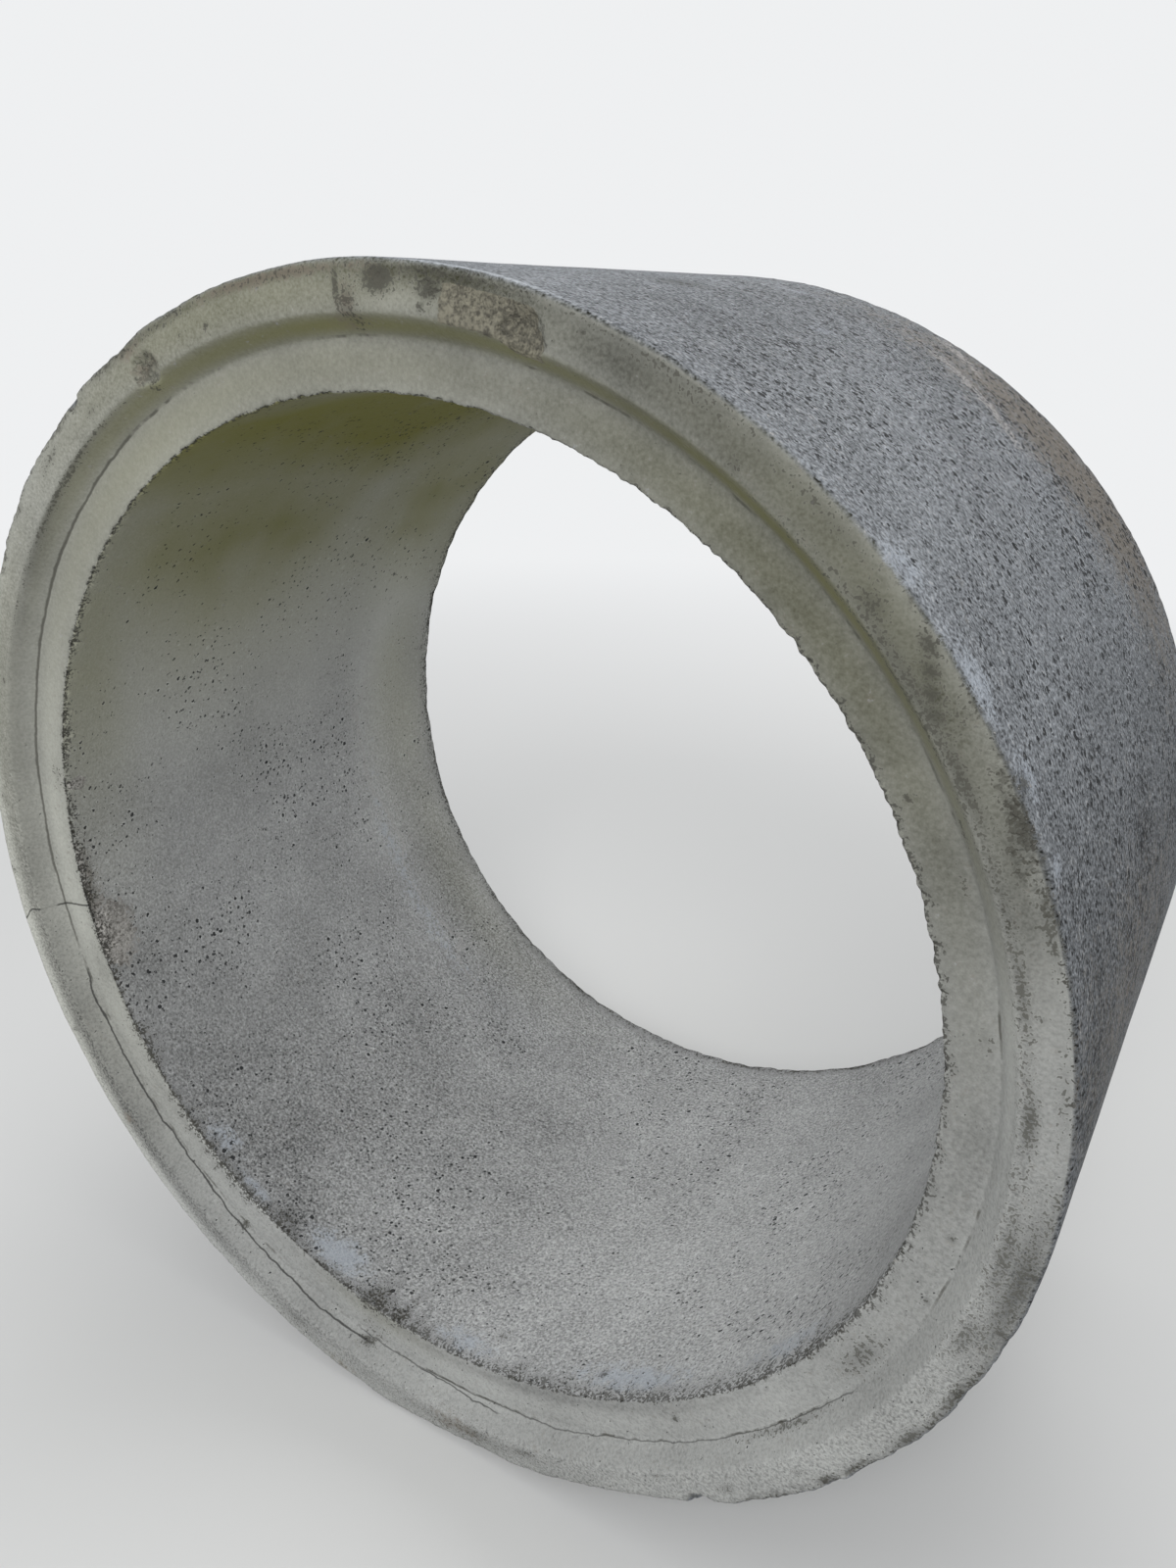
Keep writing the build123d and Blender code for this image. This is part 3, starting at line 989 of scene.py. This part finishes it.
# %% The ragged fringe and the broken stone
FRINGE_DARK = (0.044, 0.042, 0.036, 1)
STONE_PALE = (0.194, 0.181, 0.137, 1)
STONE_SHADE = (0.068, 0.063, 0.049, 1)
RUBBLE_PALE = (0.365, 0.352, 0.328, 1)
RUBBLE_SHADE = (0.130, 0.122, 0.110, 1)
hollow = concrete.mark("hollow")
broken = concrete.mark("broken")
gaps = (small_cells + sand * 0.004).step(2.5 * MM, 6 * MM)
stone_tone = (0.44 + hollow * 0.08 + clouds * 0.5 + blotches + grain + sand * 2.4).step(-0.15, 1.1)
stone = concrete.blend(stone_tone, STONE_PALE, STONE_SHADE)
stone = concrete.blend(in_bore, stone, concrete.blend(stone_tone, RUBBLE_PALE, RUBBLE_SHADE))
bare_stone = (concrete.mark("rubble") + blotches * 0.8 + grain * 0.8).step(0.38, 0.62)
skin = concrete.blend(bare_stone * 0.9, skin, stone)
fringe = concrete.mark("fringe")
skin = concrete.times(skin, 1 - fringe.least(1) * 0.20)
on_fringe = fringe.step(0.04, 0.24)
skin = concrete.times(skin, 1 + (fringe * 0.7 - speckle * 1.2).step(0.60, 0.85) * on_fringe * 0.40)
crumbly = (fringe * 0.85 + speckle * 1.4).step(0.50, 0.82) * on_fringe
skin = concrete.blend(crumbly * 0.74, skin, FRINGE_DARK)
dirty_hollow = (hollow * 0.8 + gaps * 0.3 + sand * 1.2).step(0.55, 1.1) * (1 - bare_stone)
skin = concrete.blend(dirty_hollow * 0.6, skin, GRIME_DARK)
print("finish nodes", len(concrete.tree.nodes))

# %% [markdown]
# ## Cracks and the dark root
# Shrinkage cracks follow the root of the socket, and dirt makes them black. A crack is drawn
# where the radius is close to the root's, wobbled by noise, over part of the circle.

# %% Clock angle, radius and depth in the material
across = apart.other("X")
upwards = apart.other("Z") - AXIS_HEIGHT
behind = apart.other("Y") - NEAR_Y
radius = (across * across + upwards * upwards) ** 0.5
angle = concrete.node("ShaderNodeMath", {"operation": "ARCTAN2"}, {0: upwards, 1: across}) * (180 / math.pi)
angle = angle + angle.step(0.001, -0.001) * 360
near_end = behind.step(0.12, 0.10)
waver = (clouds + blotches * 0.5) * 0.010
print("place nodes", len(concrete.tree.nodes))


# %% Crack lines
def line(gap, width):
    """1 where a wavering distance is small."""
    return (gap + waver).size().step(width, width * 0.3)


def span(signal, low, high, soft):
    """1 between two values, with soft ends."""
    return signal.step(low, low + soft) * signal.step(high, high - soft)


def ring_crack(radius_at, climb, width, low, high):
    """A crack that starts near one radius and climbs in metres for each degree of the clock."""
    return line(radius - radius_at - (angle - low) * climb, width) * span(angle, low, high, 2) * near_end


CRACK_BLACK = (0.028, 0.028, 0.026, 1)
RIM_CRACK_ANGLE = 191.2
DEGREE_AT_RIM = 14.8 * MM
cracks = ring_crack(0.8185, span(angle, 226, 268, 12) * 0.0001, 0.0013, 199, 262)
cracks = cracks.most(ring_crack(0.8170, 0, 0.0009, 258, 330) * 0.7)
cracks = cracks.most(ring_crack(0.8170, 0.0005, 0.0009, 267, 281) * 0.9)
rim_bend = (radius - 0.86).step(0, 0.04) * 1.5
rim_crack = line((angle - RIM_CRACK_ANGLE - rim_bend) * DEGREE_AT_RIM, 0.0026)
rim_crack = rim_crack * span(behind, -0.01, 0.045, 0.004) * span(radius, 0.745, 0.92, 0.004)
rim_crack = rim_crack * (1 - span(radius, 0.822, 0.842, 0.003) * 0.8)
root_dirt = line((radius - 0.8160) * 1.5, 0.0036) * near_end
root_dirt = root_dirt * (clouds + blotches + span(angle, 115, 200, 20) * 0.40).step(-0.10, 0.25)
skin = concrete.blend(root_dirt * 0.75, skin, GRIME_DARK)
skin = concrete.blend(cracks.most(rim_crack) * 0.85, skin, CRACK_BLACK)
print("crack nodes", len(concrete.tree.nodes))

# %% [markdown]
# ## Painted highlights
# A pale line painted slantwise over the barrel towards its far end is a painted highlight.
# Inside, a thin pale line a little before the bore's lip is a painted highlight too.

# %% The painted highlights on the barrel and before the bore's lip
HIGHLIGHT_PALE = (0.350, 0.338, 0.325, 1)
HIGHLIGHT_WIDTH = 30 * MM


def slanting_highlight(depth, middle, climb, low, high):
    """A painted highlight line that lies at a depth at one clock angle and climbs in metres for each
    degree.
    """
    gap = behind - depth - (angle - middle) * climb
    return line(gap + waver * 2, HIGHLIGHT_WIDTH) * span(angle, low, high, 4)


# Painted highlight: pale slanting lines on the barrel towards its far end.
barrel_highlight = slanting_highlight(0.690, 48, 0.0085, 46, 64)
barrel_highlight = barrel_highlight.most(slanting_highlight(0.870, 58, 0.0110, 55, 66))
barrel_highlight = (barrel_highlight * 0.8 + speckle + blotches).step(0.50, 1.0) * on_barrel
skin = concrete.blend(barrel_highlight * 0.85, skin, HIGHLIGHT_PALE)
# Painted highlight: a thin pale line a little before the bore's lip.
lip_highlight = line(behind - 0.800 - clouds * 0.25, 0.008) * span(angle, 160, 245, 20) * in_bore
skin = concrete.blend(lip_highlight * (0.35 + blotches), skin, HIGHLIGHT_PALE)
print("ridge nodes", len(concrete.tree.nodes))

# %% [markdown]
# ## Relief and gloss
# The heights of pits, grains and sand are added up in metres and go through one Bump node.
# Dry concrete has almost no gloss, so its roughness stays high.

# %% Bump and shader
height = sand * (1.3 * MM * concrete.mark("grit")) - large_pits * (2.2 * MM) - small_pits * (1 * MM)
height = height - broken.most(hollow) * (gaps * (2 * MM))
relief = concrete.node("ShaderNodeBump", {}, {"Height": height, "Distance": 1.0, "Strength": 0.8})
surface = concrete.node(
    "ShaderNodeBsdfPrincipled",
    {},
    {
        "Base Color": skin,
        "Roughness": 0.85 + sand * 0.3,
        "Specular IOR Level": 0.25,
        "Normal": relief,
    },
)
concrete.node("ShaderNodeOutputMaterial", {}, {"Surface": surface})
mesh.materials.append(concrete_material)

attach(pipe, "root")
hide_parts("pipe")
print("pipe placed")

# %% [markdown]
# ## Floor, backdrop and light
# The pipe stands in a plain pale studio. The floor is a large sheet that takes on the
# backdrop's colour with distance, for the camera alone, so no horizon shows and the far floor
# throws no light. A broad lamp stands high on the right in front, so that it reaches down
# into the bore. Weaker ones above, on the left and behind lift the shadows, and the world
# fills in.

# %% Floor
FLOOR_HALF = 30.0
STUDIO_PALE = (0.86, 0.87, 0.88, 1)
floor_mesh = bpy.data.meshes.new("floor")
floor_corners = [(-1, -1, 0), (1, -1, 0), (1, 1, 0), (-1, 1, 0)]
floor_mesh.from_pydata(np.array(floor_corners) * FLOOR_HALF, [], [(0, 1, 2, 3)])
floor = bpy.data.objects.new("floor", floor_mesh)
bpy.context.collection.objects.link(floor)

floor_material = bpy.data.materials.new("studio_floor")
ground = Finish(floor_material)
floor_place = ground.node("ShaderNodeTexCoord", output="Object")
floor_reach = ground.node("ShaderNodeVectorMath", {"operation": "LENGTH"}, {0: floor_place}, "Value")
floor_paint = ground.node("ShaderNodeBsdfDiffuse", {}, {"Color": (0.62, 0.62, 0.61, 1)})
floor_glow = ground.node("ShaderNodeEmission", {}, {"Color": STUDIO_PALE, "Strength": 1.0})
floor_seen = ground.node("ShaderNodeLightPath", output="Is Camera Ray")
far_share = floor_reach.step(2.0, 7.0) * floor_seen
floor_mix = ground.node("ShaderNodeMixShader", {}, {0: far_share, 1: floor_paint, 2: floor_glow})
ground.node("ShaderNodeOutputMaterial", {}, {"Surface": floor_mix})
floor_mesh.materials.append(floor_material)

# %% World and lamps
world = bpy.data.worlds.new("studio")
room = Finish(world)
room_seen = room.node("ShaderNodeLightPath", output="Is Camera Ray")
day = room.node("ShaderNodeBackground", {}, {"Color": (0.95, 0.97, 1.0, 1), "Strength": 0.6})
backdrop = room.node("ShaderNodeBackground", {}, {"Color": STUDIO_PALE, "Strength": 1.0})
room_mix = room.node("ShaderNodeMixShader", {}, {0: room_seen, 1: day, 2: backdrop})
room.node("ShaderNodeOutputWorld", {}, {"Surface": room_mix})
bpy.context.scene.world = world

# Place in metres, width in metres and power in watts
LAMPS = {
    "key": ((2.0, -4.8, 4.6), 2.6, 230),
    "top": ((0.6, 0.4, 5.6), 3.0, 40),
    "left": ((-4.6, -3.0, 2.6), 3.0, 50),
    "back": ((-1.0, 5.2, 4.2), 3.5, 110),
}
for name, (spot, width, power) in LAMPS.items():
    lamp_data = bpy.data.lights.new(name, "AREA")
    lamp_data.size = width
    lamp_data.energy = power
    lamp = bpy.data.objects.new(name, lamp_data)
    lamp.location = spot
    aim = Vector((0, 0, AXIS_HEIGHT)) - Vector(spot)
    lamp.rotation_euler = aim.to_track_quat("-Z", "Y").to_euler()
    bpy.context.collection.objects.link(lamp)
print("lamps", list(LAMPS))

# %% Finish
bpy.context.scene.view_settings.view_transform = "Standard"
